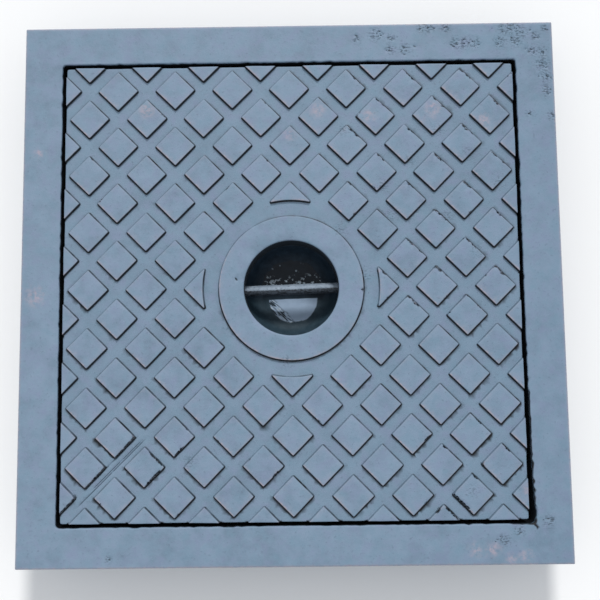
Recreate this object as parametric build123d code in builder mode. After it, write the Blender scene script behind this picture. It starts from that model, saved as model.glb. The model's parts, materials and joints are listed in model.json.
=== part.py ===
from build123d import *

import os
from math import acos, degrees, radians, sqrt, tan

# Square cast-iron access cover and frame. The cover drops into the frame and rests on a rubber
# gasket. A round bar crosses the bowl in its middle, and the cover is lifted by that bar.
# Millimetres, +Z up. The origin is the centre of the frame's bedding face, at Z = 0.

os.makedirs("parts", exist_ok=True)

# ---------------------------------------------------------------- driving dimensions
# frame
frame_size = 600.0  # outside of the top and base flanges
frame_height = 75.0
opening_size = 514.0  # pocket that the cover drops into
clear_opening = 450.0  # way down into the chamber
opening_corner = 3.0
clear_corner = 12.0
top_flange = 10.0
base_flange = 9.0
frame_wall = 9.0
seat_z = 35.0  # top of the ledge that carries the cover
ledge_depth = 9.0  # at its lip
frame_edge_round = 2.0
web_thickness = 8.0
web_waist = 15.0  # how far the hollow of an outside web reaches in from its edge
web_setback = 3.0  # the webs stop this far inside the flange edges
web_land = 4.0  # straight stretch of a web's edge next to each flange
web_offset = 105.0  # from the middle of each side
haunch_z = 12.0  # foot of the slope that carries the ledge
anchor_hole = 14.0  # for an M12 anchor stud

# cover
cover_gap = 4.0  # all round, between cover and frame
cover_corner = 2.5
side_draft = 1.5  # degrees
lug_height = 4.0
plate_thickness = 9.0
rim_width = 14.0
rim_inner_corner = 8.0
rib_thickness = 8.0
rib_z = 42.0  # underside of the ribs
rib_offset = 126.0

# tread pattern: square lugs, turned 45 degrees, with plain channels between them
pitch = 64.5  # corner to corner across one lug and one channel
lug_side = 32.0
lugs_per_row = 16  # along each edge of the turned grid, which is then trimmed to the cover
clear_circle = 195.0  # plain floor around the central ring
ring_diameter = 161.0

# bowl in the middle of the cover
bowl_mouth = 105.0
collar_wall = 16.0
collar_z = 34.0  # underside of the collar
bowl_gasket_thickness = 1.5
bowl_wall = 3.0
bowl_floor_z = 16.0  # top of the bowl's floor
bowl_floor_radius = 45.0  # where wall and floor would meet without their bend
bowl_bend = 16.0

# bar and its fixings
bar_diameter = 12.0
bar_z = 47.0
bar_skew = 1.6  # degrees between the bar and the cover's edges
bar_clearance = 0.08  # radial, in the collar
boss_diameter = 26.0
boss_face = 74.0  # from the middle of the bowl
end_play = 0.3
bar_washer_thickness = 2.5
bar_washer_diameter = 24.0
bar_washer_bore = 13.0
bar_end = 6.0  # bar left beyond the middle of a split pin
bar_chamfer = 1.0
split_pin_hole = 3.5
split_pin_gap = 0.4  # between split pin hole and washer
wire_diameter = 1.45
wire_spacing = 1.55  # between the middles of a split pin's two legs
eye_radius = 2.4
eye_flare = 3.0  # radius of the curve between leg and eye
eye_start = 7.0  # from the bar's axis to the end of the straight legs
leg_end = 6.8  # from the bar's axis to the bend of the legs
leg_bend = 2.5
leg_spread = 60.0  # degrees
leg_tail = 4.0

# seat gasket and the bowl's screws
gasket_thickness = 3.0
gasket_width = 22.0
gasket_wall_gap = 2.0
screw_diameter = 5.9  # M6, over the threads
tapped_diameter = 6.0
tapped_depth = 13.0
screw_length = 16.0
screw_head = 4.0
screw_head_chamfer = 0.5
screw_across_flats = 10.0
screw_hole = 6.6
spring_washer_thickness = 1.6
spring_washer_diameter = 11.8
spring_washer_bore = 6.4
spring_washer_gap = 1.0
screw_angles = (45, 135, 225, 315)
screw_shift = 2.0  # outwards from the middle of the collar's wall

# ---------------------------------------------------------------- derived dimensions
wall_outside = opening_size + 2 * frame_wall
anchor_spacing = (wall_outside + frame_size) / 2  # holes in the middle of the base flange
cover_size = opening_size - 2 * cover_gap
cover_z = seat_z + gasket_thickness  # underside of the rim
channel_z = frame_height - lug_height  # floor of the channels
underside_z = channel_z - plate_thickness
rim_size = cover_size - 2 * (channel_z - cover_z) * tan(radians(side_draft))
rim_inside = rim_size - 2 * rim_width
lug_spacing = pitch / sqrt(2)
collar_diameter = bowl_mouth + 2 * collar_wall
bowl_flange_z = collar_z - bowl_gasket_thickness  # top of the bowl's flange
screw_circle = (bowl_mouth + collar_diameter) / 4 + screw_shift
screw_seat_z = bowl_flange_z - bowl_wall - spring_washer_thickness
washer_face = boss_face + end_play
pin_position = washer_face + bar_washer_thickness + split_pin_gap + split_pin_hole / 2
bar_length = 2 * (pin_position + bar_end)
eye_turn = degrees(acos((eye_flare + wire_spacing / 2) / (eye_flare + eye_radius)))
eye_middle = eye_start + sqrt((eye_flare + eye_radius) ** 2 - (eye_flare + wire_spacing / 2) ** 2)

# planes of the bar: bar_level has X along the bar, bar_section looks along it, with Y up
bar_level = Plane.XY.offset(bar_z).rotated((0, 0, bar_skew))
bar_section = Plane(bar_level.origin, x_dir=bar_level.y_dir, z_dir=bar_level.x_dir)

# ---------------------------------------------------------------- frame
with BuildPart() as outside_web:
    # stiffening web between the flanges, on the side that is bedded in concrete
    web_foot = base_flange - 1
    web_head = frame_height - top_flange + 1
    web_root = wall_outside / 2 - 1
    web_edge = frame_size / 2 - web_setback
    with BuildSketch(Plane.XZ):
        with BuildLine():
            hollow = ThreePointArc(
                (web_edge, web_foot + web_land),
                (web_edge - web_waist, (web_foot + web_head) / 2),
                (web_edge, web_head - web_land),
            )
            Polyline(
                hollow @ 1,
                (web_edge, web_head),
                (web_root, web_head),
                (web_root, web_foot),
                (web_edge, web_foot),
                hollow @ 0,
            )
        make_face()
    extrude(amount=web_thickness / 2, both=True)

with BuildPart() as frame:
    with BuildSketch():
        Rectangle(frame_size, frame_size)
    extrude(amount=base_flange)
    with BuildSketch():
        Rectangle(wall_outside, wall_outside)
    extrude(amount=frame_height)
    with BuildSketch(Plane.XY.offset(frame_height - top_flange)):
        Rectangle(frame_size, frame_size)
    extrude(amount=top_flange)
    fillet(frame.faces().sort_by(Axis.Z)[-1].edges(), frame_edge_round)
    with BuildSketch():
        RectangleRounded(opening_size, opening_size, opening_corner)
    extrude(amount=frame_height, mode=Mode.SUBTRACT)
    # ledge all round, carried by a slope from the wall
    with BuildSketch(Plane.XY.offset(haunch_z)):
        Rectangle(opening_size + frame_wall, opening_size + frame_wall)
        RectangleRounded(clear_opening, clear_opening, clear_corner, mode=Mode.SUBTRACT)
    extrude(amount=seat_z - haunch_z)
    with BuildSketch(Plane.XY.offset(haunch_z)):
        RectangleRounded(opening_size, opening_size, opening_corner)
    with BuildSketch(Plane.XY.offset(seat_z - ledge_depth)):
        RectangleRounded(clear_opening, clear_opening, clear_corner)
    loft(mode=Mode.SUBTRACT)
    with PolarLocations(0, 4):
        with GridLocations(0, 2 * web_offset, 1, 2):
            add(outside_web.part)
    with BuildSketch():
        with GridLocations(anchor_spacing, anchor_spacing, 2, 2):
            Circle(anchor_hole / 2)
    extrude(amount=base_flange, mode=Mode.SUBTRACT)
frame.part.label = "frame"
export_step(frame.part, "parts/frame.step")

with BuildPart() as seat_gasket:
    # rubber strip on the ledge, under the cover's rim
    gasket_size = opening_size - 2 * gasket_wall_gap
    gasket_inside = gasket_size - 2 * gasket_width
    with BuildSketch(Plane.XY.offset(seat_z)):
        RectangleRounded(gasket_size, gasket_size, opening_corner)
        RectangleRounded(gasket_inside, gasket_inside, opening_corner, mode=Mode.SUBTRACT)
    extrude(amount=gasket_thickness)
seat_gasket.part.label = "seat_gasket"
export_step(seat_gasket.part, "parts/seat_gasket.step")

# ---------------------------------------------------------------- cover
with BuildPart() as cover_plate:
    # plate and rim, drafted so that the cover lifts out freely
    with BuildSketch(Plane.XY.offset(cover_z)):
        RectangleRounded(rim_size, rim_size, cover_corner)
    extrude(amount=channel_z - cover_z, taper=-side_draft)
    with BuildSketch(Plane.XY.offset(cover_z)):
        RectangleRounded(rim_inside, rim_inside, rim_inner_corner)
    extrude(amount=underside_z - cover_z, mode=Mode.SUBTRACT)

    # two ribs each way, and two more that tie the collar to them
    with BuildSketch(Plane.XY.offset(rib_z)):
        with GridLocations(2 * rib_offset, 0, 2, 1):
            Rectangle(rib_thickness, rim_inside + rim_width)
        with GridLocations(0, 2 * rib_offset, 1, 2):
            Rectangle(rim_inside + rim_width, rib_thickness)
        Rectangle(rib_thickness, 2 * rib_offset)
    extrude(amount=underside_z - rib_z + 1)

    # collar around the bowl, with a boss at each end of the bar
    with BuildSketch(Plane.XY.offset(collar_z)):
        Circle(collar_diameter / 2)
    extrude(amount=underside_z - collar_z + 1)
    with BuildSketch(bar_section):
        Circle(boss_diameter / 2)
        Rectangle(boss_diameter, underside_z - bar_z + 1, align=(Align.CENTER, Align.MIN))
    extrude(amount=boss_face, both=True)

    # lugs, trimmed to the cover's edge and to the clear circle, and the ring round the bowl
    with BuildSketch(Plane.XY.offset(channel_z)):
        with Locations(Location((0, 0, 0), (0, 0, 45))):
            with GridLocations(lug_spacing, lug_spacing, lugs_per_row, lugs_per_row):
                Rectangle(lug_side, lug_side)
        RectangleRounded(cover_size, cover_size, cover_corner, mode=Mode.INTERSECT)
        Circle(clear_circle / 2, mode=Mode.SUBTRACT)
        Circle(ring_diameter / 2)
    extrude(amount=lug_height)

    # bowl mouth, bar hole and the tapped holes for the bowl's screws
    with BuildSketch(Plane.XY.offset(collar_z)):
        Circle(bowl_mouth / 2)
    extrude(amount=frame_height - collar_z, mode=Mode.SUBTRACT)
    with BuildSketch(bar_section):
        Circle(bar_diameter / 2 + bar_clearance)
    extrude(amount=boss_face, both=True, mode=Mode.SUBTRACT)
    with BuildSketch(Plane.XY.offset(collar_z)):
        with PolarLocations(screw_circle, len(screw_angles), start_angle=screw_angles[0]):
            Circle(tapped_diameter / 2)
    extrude(amount=tapped_depth, mode=Mode.SUBTRACT)
cover_plate.part.label = "cover_plate"
export_step(cover_plate.part, "parts/cover_plate.step")

# ---------------------------------------------------------------- bowl
with BuildPart() as lifting_bowl:
    # pressed bowl with a flat flange, hung under the collar
    wall_lean = bowl_mouth / 2 - bowl_floor_radius
    with BuildSketch(Plane.XZ):
        with BuildLine():
            inside = FilletPolyline(
                (0, bowl_floor_z),
                (bowl_floor_radius, bowl_floor_z),
                (bowl_mouth / 2, bowl_flange_z),
                radius=bowl_bend,
            )
            outside = FilletPolyline(
                (0, bowl_floor_z - bowl_wall),
                (bowl_floor_radius + wall_lean / 2, bowl_floor_z - bowl_wall),
                (bowl_mouth / 2 + bowl_wall, bowl_flange_z - bowl_wall),
                radius=bowl_bend + bowl_wall,
            )
            Polyline(
                outside @ 1,
                (collar_diameter / 2, bowl_flange_z - bowl_wall),
                (collar_diameter / 2, bowl_flange_z),
                inside @ 1,
            )
            Line(outside @ 0, inside @ 0)
        make_face()
    revolve(axis=Axis.Z)
    with BuildSketch(Plane.XY.offset(bowl_flange_z)):
        with PolarLocations(screw_circle, len(screw_angles), start_angle=screw_angles[0]):
            Circle(screw_hole / 2)
    extrude(amount=-bowl_wall, mode=Mode.SUBTRACT)
lifting_bowl.part.label = "lifting_bowl"
export_step(lifting_bowl.part, "parts/lifting_bowl.step")

with BuildPart() as bowl_gasket:
    with BuildSketch(Plane.XY.offset(bowl_flange_z)):
        Circle(collar_diameter / 2)
        Circle(bowl_mouth / 2, mode=Mode.SUBTRACT)
        with PolarLocations(screw_circle, len(screw_angles), start_angle=screw_angles[0]):
            Circle(screw_hole / 2, mode=Mode.SUBTRACT)
    extrude(amount=bowl_gasket_thickness)
bowl_gasket.part.label = "bowl_gasket"
export_step(bowl_gasket.part, "parts/bowl_gasket.step")

for number, angle in enumerate(screw_angles, start=1):
    place = Plane.XY.offset(screw_seat_z).rotated((0, 0, angle))
    with BuildPart() as bowl_screw:
        with BuildSketch(place):
            with Locations((screw_circle, 0)):
                Circle(screw_diameter / 2)
        extrude(amount=screw_length)
        with BuildSketch(place):
            with Locations((screw_circle, 0)):
                RegularPolygon(screw_across_flats / 2, 6, major_radius=False)
        extrude(amount=-screw_head)
        chamfer(bowl_screw.faces().sort_by(Axis.Z)[0].edges(), screw_head_chamfer)
    bowl_screw.part.label = f"bowl_screw_{number}"
    export_step(bowl_screw.part, f"parts/bowl_screw_{number}.step")

    with BuildPart() as spring_washer:
        with BuildSketch(place):
            with Locations((screw_circle, 0)):
                Circle(spring_washer_diameter / 2)
                Circle(spring_washer_bore / 2, mode=Mode.SUBTRACT)
                Rectangle(
                    spring_washer_diameter,
                    spring_washer_gap,
                    align=(Align.MIN, Align.CENTER),
                    mode=Mode.SUBTRACT,
                )
        extrude(amount=spring_washer_thickness)
    spring_washer.part.label = f"spring_washer_{number}"
    export_step(spring_washer.part, f"parts/spring_washer_{number}.step")

# ---------------------------------------------------------------- bar
with BuildPart() as lifting_bar:
    with BuildSketch(bar_section):
        Circle(bar_diameter / 2)
    extrude(amount=bar_length / 2, both=True)
    chamfer(lifting_bar.edges().filter_by(GeomType.CIRCLE), bar_chamfer)
    with BuildSketch(bar_level):
        with GridLocations(2 * pin_position, 0, 2, 1):
            Circle(split_pin_hole / 2)
    extrude(amount=bar_diameter, both=True, mode=Mode.SUBTRACT)
lifting_bar.part.label = "lifting_bar"
export_step(lifting_bar.part, "parts/lifting_bar.step")

for side, direction in (("left", -1), ("right", 1)):
    with BuildPart() as bar_washer:
        with BuildSketch(bar_section.offset(direction * washer_face)):
            Circle(bar_washer_diameter / 2)
            Circle(bar_washer_bore / 2, mode=Mode.SUBTRACT)
        extrude(amount=direction * bar_washer_thickness)
    bar_washer.part.label = f"bar_washer_{side}"
    export_step(bar_washer.part, f"parts/bar_washer_{side}.step")

    with BuildPart() as split_pin:
        # bent wire with its eye below the bar and its two legs spread above it
        with BuildLine(bar_section.offset(direction * pin_position)) as wire:
            eye = JernArc((0, -eye_middle - eye_radius), (1, 0), eye_radius, 90 + eye_turn)
            flare = JernArc(eye @ 1, eye % 1, eye_flare, -eye_turn)
            leg = Line(flare @ 1, (wire_spacing / 2, leg_end))
            bend = JernArc(leg @ 1, leg % 1, leg_bend, -leg_spread)
            Line(bend @ 1, bend @ 1 + (bend % 1) * leg_tail)
            mirror(wire.line, about=Plane(bar_section.origin, z_dir=bar_level.y_dir))
        with BuildSketch(Plane(wire.line @ 0, z_dir=wire.line % 0)):
            Circle(wire_diameter / 2)
        sweep()
    split_pin.part.label = f"split_pin_{side}"
    export_step(split_pin.part, f"parts/split_pin_{side}.step")
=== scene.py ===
import json
import math
import random

import bmesh
import bpy
import numpy as np
from mathutils import Euler, Matrix, Vector, noise
from mathutils.geometry import delaunay_2d_cdt


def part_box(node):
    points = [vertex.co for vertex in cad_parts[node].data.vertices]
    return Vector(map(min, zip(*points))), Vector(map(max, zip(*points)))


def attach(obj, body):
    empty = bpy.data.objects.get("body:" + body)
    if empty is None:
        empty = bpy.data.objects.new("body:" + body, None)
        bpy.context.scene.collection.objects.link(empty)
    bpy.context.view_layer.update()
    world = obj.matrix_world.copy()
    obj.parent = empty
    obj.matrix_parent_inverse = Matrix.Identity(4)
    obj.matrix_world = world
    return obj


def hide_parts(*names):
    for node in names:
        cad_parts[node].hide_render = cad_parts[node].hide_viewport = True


# Looks of the square cast-iron access cover and frame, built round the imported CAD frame. Metres.
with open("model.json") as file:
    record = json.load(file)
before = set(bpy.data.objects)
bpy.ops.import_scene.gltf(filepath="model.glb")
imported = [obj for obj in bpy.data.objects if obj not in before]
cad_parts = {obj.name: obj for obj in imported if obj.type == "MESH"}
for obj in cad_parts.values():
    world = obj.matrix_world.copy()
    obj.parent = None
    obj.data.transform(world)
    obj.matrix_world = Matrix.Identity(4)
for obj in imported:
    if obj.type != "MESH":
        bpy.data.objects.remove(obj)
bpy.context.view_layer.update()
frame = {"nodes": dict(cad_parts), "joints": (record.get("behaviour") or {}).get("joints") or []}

MM = 0.001

# ---- places taken from the frame
FRAME_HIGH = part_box("frame")[1]
COVER_LOW, COVER_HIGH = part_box("cover_plate")
BOWL_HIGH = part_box("lifting_bowl")[1]
BAR_SPIN = next(joint for joint in frame["joints"] if joint["name"] == "bar_spin")
BAR_DIRECTION = Vector(BAR_SPIN["axis"])
BAR_YAW = math.atan2(BAR_DIRECTION.y, BAR_DIRECTION.x)
BAR_SPOT = Vector(BAR_SPIN["pos_m"])
BAR_Z = BAR_SPOT.z
BAR_LOW, BAR_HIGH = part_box("lifting_bar")
PIN_LOW, PIN_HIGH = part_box("split_pin_right")
PIN_POSITION = (PIN_LOW.x + PIN_HIGH.x) / 2 / math.cos(BAR_YAW)
TOP = FRAME_HIGH.z
FRAME_HALF = FRAME_HIGH.x
COVER_HALF = COVER_HIGH.x
COLLAR_Z = COVER_LOW.z
RIM_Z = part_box("seat_gasket")[1].z

# ---- sizes of the castings
LUG_HEIGHT = 4 * MM
FLOOR = TOP - LUG_HEIGHT  # floor of the channels
PLATE_UNDERSIDE = FLOOR - 9 * MM
RIM_HALF = COVER_HALF - 0.87 * MM  # the rim is narrower at its foot, for draft
RIM_INNER_HALF = RIM_HALF - 14 * MM
RIB_OFFSET = 126 * MM
RIB_HALF = 4 * MM
RIB_Z = 42 * MM
PITCH = 64.5 * MM  # corner to corner across one lug and one channel
COVER_SEED, FRAME_SEED = 11, 5
LUG_HALF = 16 * MM
CLEAR_RADIUS = 97.5 * MM
RING_RADIUS = 80.5 * MM
MOUTH_RADIUS = 52.5 * MM
COLLAR_RADIUS = BOWL_HIGH.x
BOSS_RADIUS = 13 * MM
BOSS_FACE = 74 * MM
BAR_RADIUS = 6 * MM
BORE_RADIUS = BAR_RADIUS + 0.08 * MM
PIN_HOLE_RADIUS = 1.75 * MM
SCREW_HOLE_RADIUS = 3 * MM
FLANGE_HOLE_RADIUS = 3.3 * MM
SCREW_CIRCLE = 62.25 * MM
OPENING_HALF = 257 * MM
WALL_HALF = 266 * MM
TOP_FLANGE_Z = TOP - 10 * MM
BASE_FLANGE_Z = 9 * MM
ANCHOR_OFFSET = 283 * MM
ANCHOR_RADIUS = 7 * MM
WEB_OFFSET = 105 * MM
SHARP_ANGLE = math.radians(50)  # edges that turn more than this are shaded sharp


# ---- small helpers
def wander(x, y, scale, seed):
    """Smooth noise from about -1 to 1 at each place, with features of the given size. Each use has a
    seed of its own."""
    return np.array([
        noise.fractal(Vector((px / scale, py / scale, seed * 7.31)), 1.0, 2.0, 3)
        for px, py in zip(x, y)
    ])


def turned(x, y, angle):
    """Places turned anticlockwise about the middle."""
    cos, sin = math.cos(angle), math.sin(angle)
    return x * cos - y * sin, x * sin + y * cos


def rounded_square(half, corner, per_side=8, per_corner=3):
    """Points round a square with rounded corners, in order, always per_side + per_corner a side."""
    straight = half - corner
    side = [(half, straight * (2 * k / per_side - 1)) for k in range(per_side)]
    for k in range(per_corner):
        angle = math.pi / 2 * k / per_corner
        side.append((straight + corner * math.cos(angle), straight + corner * math.sin(angle)))
    return np.array([turned(x, y, k * math.pi / 2) for k in range(4) for x, y in side])


def circle(radius, count, start=0.0):
    angles = start + np.arange(count) * 2 * math.pi / count
    return np.c_[radius * np.cos(angles), radius * np.sin(angles)]


def square_reach(x, y):
    """Half the side of the square round the middle that goes through a place."""
    return np.maximum(np.abs(x), np.abs(y))


def square_distance(x, y, half, corner):
    """Signed distance to a rounded square, positive inside it."""
    qx, qy = np.abs(x) - half + corner, np.abs(y) - half + corner
    outside = np.hypot(np.maximum(qx, 0), np.maximum(qy, 0))
    return corner - outside - np.minimum(np.maximum(qx, qy), 0)


class Plan:
    """Points and lines seen from above, which one triangulated surface has to keep."""

    def __init__(self):
        self.points = []
        self.lines = []

    def dots(self, points):
        self.points += [tuple(p) for p in points]

    def path(self, points):
        first = len(self.points)
        self.dots(points)
        self.lines += [(k, k + 1) for k in range(first, len(self.points) - 1)]

    def loop(self, points):
        first = len(self.points)
        self.path(points)
        self.lines.append((len(self.points) - 1, first))

    def triangles(self):
        """Points, triangles, and for each point the first given one that it stands for, or -1."""
        given = [Vector(p) for p in self.points]
        points, _, faces, origins, _, _ = delaunay_2d_cdt(given, self.lines, [], 1, 1e-6, True)
        first = [min(o) if o else -1 for o in origins]
        return np.array([tuple(p) for p in points]), faces, first


def middles(points, faces):
    """X and Y of the middle of each triangle."""
    return np.array([points[list(face)].mean(axis=0) for face in faces]).T


def scatter(rng, half, spacing):
    """A jittered grid of points over a square."""
    count = int(2 * half / spacing)
    axis = (np.arange(count) + 0.5) * spacing - half
    x, y = [a.ravel() for a in np.meshgrid(axis, axis)]
    jitter = np.array([rng.uniform(-0.3, 0.3) * spacing for _ in range(2 * len(x))])
    return np.c_[x + jitter[: len(x)], y + jitter[len(x) :]]


def smooth_object(name, bm):
    """Turns a bmesh into an object of the scene, smooth shaded, with its normals outwards."""
    mesh = bpy.data.meshes.new(name)
    bmesh.ops.recalc_face_normals(bm, faces=bm.faces)
    bm.to_mesh(mesh)
    bm.free()
    mesh.polygons.foreach_set("use_smooth", [True] * len(mesh.polygons))
    piece = bpy.data.objects.new(name, mesh)
    bpy.context.scene.collection.objects.link(piece)
    return piece


def boundary_loops(bm):
    """Each closed loop of open edges, as vertices in order. A dict keeps the edges in the order of the
    mesh, so that every run gives the same loops, where a set would not."""
    open_edges = dict.fromkeys(e for e in bm.edges if len(e.link_faces) == 1)
    loops = []
    while open_edges:
        edge = next(iter(open_edges))
        del open_edges[edge]
        loop = list(edge.verts)
        while edge := next((e for e in loop[-1].link_edges if e in open_edges), None):
            del open_edges[edge]
            loop.append(edge.other_vert(loop[-1]))
        if loop[-1] is loop[0]:
            loop.pop()
        loops.append(loop)
    return loops


def add_wall(bm, loop, rows):
    """Joins rows of new vertices, each a list of places, below a loop. Returns the last row."""
    for row in rows:
        below = [bm.verts.new(p) for p in row]
        for k in range(len(loop)):
            after = (k + 1) % len(loop)
            bm.faces.new((loop[k], loop[after], below[after], below[k]))
        loop = below
    return loop


def closed_tube(name, rows):
    """A closed mesh from rows of places, each joined to the next, with flat ends."""
    bm = bmesh.new()
    first = [bm.verts.new(p) for p in rows[0]]
    last = add_wall(bm, first, rows[1:])
    bm.faces.new(first)
    bm.faces.new(last)
    return smooth_object(name, bm)


def add_surface(bm, plan, height, shared, wanted):
    """Adds a plan's triangles at the heights that height(x, y) gives, where wanted(x, y) is true.
    shared holds vertices that are there already, for the plan's first points, in order."""
    points, faces, origins = plan.triangles()
    z = height(*points.T)
    verts = {}
    for face, keep in zip(faces, wanted(*middles(points, faces))):
        if not keep:
            continue
        for k in face:
            if k not in verts:
                known = 0 <= origins[k] < len(shared)
                verts[k] = shared[origins[k]] if known else bm.verts.new((*points[k], z[k]))
        bm.faces.new([verts[k] for k in face])


def store(piece, name, values):
    """Keeps a value from 0 to 1 on each vertex, for the materials."""
    attribute = piece.data.attributes.new(name, "FLOAT", "POINT")
    attribute.data.foreach_set("value", np.clip(values, 0, 1).astype(np.float32))


def vertex_vectors(piece, name="co"):
    """Each vertex's place, or its normal."""
    values = np.zeros(len(piece.data.vertices) * 3, np.float32)
    piece.data.vertices.foreach_get(name, values)
    return values.reshape(-1, 3)


def places(piece):
    return vertex_vectors(piece).astype(float)


def cut(piece, cutters, operation="DIFFERENCE"):
    """Cuts closed meshes out of a closed mesh, or joins them to it."""
    for cutter in cutters:
        modifier = piece.modifiers.new("cut", "BOOLEAN")
        modifier.operation = operation
        modifier.solver = "MANIFOLD"
        modifier.object = cutter
    result = bpy.data.meshes.new_from_object(
        piece.evaluated_get(bpy.context.evaluated_depsgraph_get())
    )
    piece.modifiers.clear()
    piece.data = result
    for cutter in cutters:
        bpy.data.objects.remove(cutter)


def rod(start, end, radius, count):
    """A closed cylinder between two points, to cut holes with."""
    start, end = Vector(start), Vector(end)
    turn = (end - start).to_track_quat("Z", "Y")
    ring = [turn @ Vector((x, y, 0)) for x, y in circle(radius, count)]
    return closed_tube("cutter", [[middle + p for p in ring] for middle in (start, end)])


def drill(piece, rods):
    """Cuts round holes, and then has every edge that turns a lot shaded sharp."""
    cut(piece, rods)
    piece.data.set_sharp_from_angle(angle=SHARP_ANGLE)


# ---- dents, chips and pits
class Dent:
    """An oval hollow in a top face, with a rough edge."""

    def __init__(self, middle, long, short, angle, depth):
        self.middle = middle
        self.long, self.short, self.angle, self.depth = long, short, angle, depth

    def near(self, x, y):
        """1 in the middle, falling to 0 at 1.25 times the hollow's size."""
        along, across = turned(x - self.middle[0], y - self.middle[1], -self.angle)
        return np.clip(1.25 - np.hypot(along / self.long, across / self.short), 0, 1)

    def dots(self, rng):
        """Points close together over the hollow, so that the mesh can hold it."""
        cos, sin = math.cos(self.angle), math.sin(self.angle)
        found = [self.middle]
        for share, count in ((0.4, 5), (0.75, 9), (1.05, 13), (1.3, 13)):
            for k in range(count):
                turn = 2 * math.pi * (k + rng.uniform(-0.3, 0.3)) / count
                a = self.long * share * math.cos(turn)
                b = self.short * share * math.sin(turn)
                found.append((self.middle[0] + a * cos - b * sin, self.middle[1] + a * sin + b * cos))
        return found


def dent_depth(dents, x, y):
    depth = np.zeros(len(x))
    for dent in dents:
        close = np.hypot(x - dent.middle[0], y - dent.middle[1]) < 1.5 * dent.long
        if close.any():
            depth[close] = np.maximum(depth[close], dent.depth * dent.near(x[close], y[close]))
    return depth


# ---- tread of the cover
# height of a lug's flank above the channel floor, by the distance inside its foot
LUG_STEPS = np.array([-1.2, -0.45, 0.0, 0.4, 0.75, 1.3, 2.3]) * MM
LUG_LEVELS = np.array([0.0, 0.12, 0.7, 3.2, 3.72, 3.94, 4.0]) * MM
LUG_FOOT_HALF = LUG_HALF + 0.2 * MM
LUG_CORNER = 1.7 * MM
# the rounded edge of the bowl's mouth, by the distance outside its wall
MOUTH_STEPS = np.array([0.0, 0.3, 0.9, 2.0]) * MM
MOUTH_LEVELS = np.array([-1.9, -0.9, -0.25, 0.0]) * MM
EDGE_ROUND = 0.7 * MM
RING_FOOT = RING_RADIUS + 0.2 * MM
GRID = PITCH / math.sqrt(2)
LUG_REACH = 9  # lugs each way from the middle, along the turned grid


class Lug:
    """One square lug of the tread, slightly out of true like every cast one."""

    def __init__(self, i, j, rng):
        u, v = (i + 0.5) * GRID, (j + 0.5) * GRID
        self.x = (u - v) / math.sqrt(2) + rng.uniform(-0.3, 0.3) * MM
        self.y = (u + v) / math.sqrt(2) + rng.uniform(-0.3, 0.3) * MM
        self.turn = math.pi / 4 + math.radians(rng.uniform(-0.6, 0.6))
        self.half = LUG_FOOT_HALF + rng.uniform(-0.3, 0.2) * MM
        middle = math.hypot(self.x, self.y)
        self.trimmed = middle < CLEAR_RADIUS + LUG_HALF * 0.5
        self.present = (
            middle > 0.9 * CLEAR_RADIUS
            and square_reach(self.x, self.y) < COVER_HALF + LUG_HALF * math.sqrt(2)
        )

    def to_plan(self, points):
        cos, sin = math.cos(self.turn), math.sin(self.turn)
        x, y = points[:, 0], points[:, 1]
        return np.c_[self.x + x * cos - y * sin, self.y + x * sin + y * cos]

    def distance(self, x, y):
        along, across = turned(x - self.x, y - self.y, -self.turn)
        inside = square_distance(along, across, self.half, LUG_CORNER)
        if self.trimmed:
            inside = np.minimum(inside, np.hypot(x, y) - CLEAR_RADIUS)
        return inside

    def outline(self, step):
        """The line at one distance inside the foot."""
        corner = max(LUG_CORNER - step, 0.5 * MM)
        points = self.to_plan(rounded_square(self.half - step, corner, 7, 3))
        if not self.trimmed:
            return points
        arc_radius = CLEAR_RADIUS + step
        inside = np.hypot(points[:, 0], points[:, 1]) < arc_radius
        first = next(k for k in range(len(points)) if inside[k - 1] and not inside[k])
        points, inside = np.roll(points, -first, axis=0), np.roll(inside, -first)
        kept = points[~inside]
        start = math.atan2(kept[-1][1], kept[-1][0])
        sweep = (math.atan2(kept[0][1], kept[0][0]) - start + math.pi) % (2 * math.pi) - math.pi
        angles = [start + sweep * share for share in np.linspace(0, 1, 12)]
        return np.r_[kept, [(arc_radius * math.cos(a), arc_radius * math.sin(a)) for a in angles]]

    def edge_point(self, side, share):
        """A place on the top edge: side 0 is the upper right one, then anticlockwise."""
        half = self.half - 1.0 * MM
        along = (2 * share - 1) * half
        place = ((half, along), (-along, half), (-half, -along), (along, -half))[side]
        return tuple(self.to_plan(np.array([place]))[0])

    def edge_angle(self, side):
        return self.turn + math.pi / 2 + side * math.pi / 2


def make_lugs(rng):
    reach = range(-LUG_REACH, LUG_REACH)
    lugs = {(i, j): Lug(i, j, rng) for i in reach for j in reach}
    return {place: lug for place, lug in lugs.items() if lug.present}


def lug_distance(lugs, x, y):
    """Distance inside the nearest lug's foot, negative in the channels."""
    inside = np.full(len(x), -PITCH)
    i = np.floor((x + y) / math.sqrt(2) / GRID).astype(int)
    j = np.floor((y - x) / math.sqrt(2) / GRID).astype(int)
    for key, lug in lugs.items():
        here = (i == key[0]) & (j == key[1])
        if here.any():
            inside[here] = lug.distance(x[here], y[here])
    return inside


def lug_at(lugs, across, up):
    """The lug whose middle is that many pitches right of the centre and up from it."""
    def far(lug):
        return math.hypot(lug.x - across * PITCH, lug.y - up * PITCH)
    return min(lugs.values(), key=far)


def knock(dents, lug, side, share, size, depth, rng, pieces):
    """A ragged chip on a lug's top edge, made of a few overlapping hollows."""
    for _ in range(pieces):
        x, y = lug.edge_point(side, share + rng.uniform(-1, 1) * 0.055 * size)
        place = (x + rng.uniform(-0.25, 0.25) * size * MM, y + rng.uniform(-0.25, 0.25) * size * MM)
        long = size * rng.uniform(0.45, 0.8) * MM
        short = long * rng.uniform(0.35, 0.6)
        angle = lug.edge_angle(side) + rng.uniform(-0.5, 0.5)
        dents.append(Dent(place, long, short, angle, depth * rng.uniform(0.6, 1) * MM))


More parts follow.
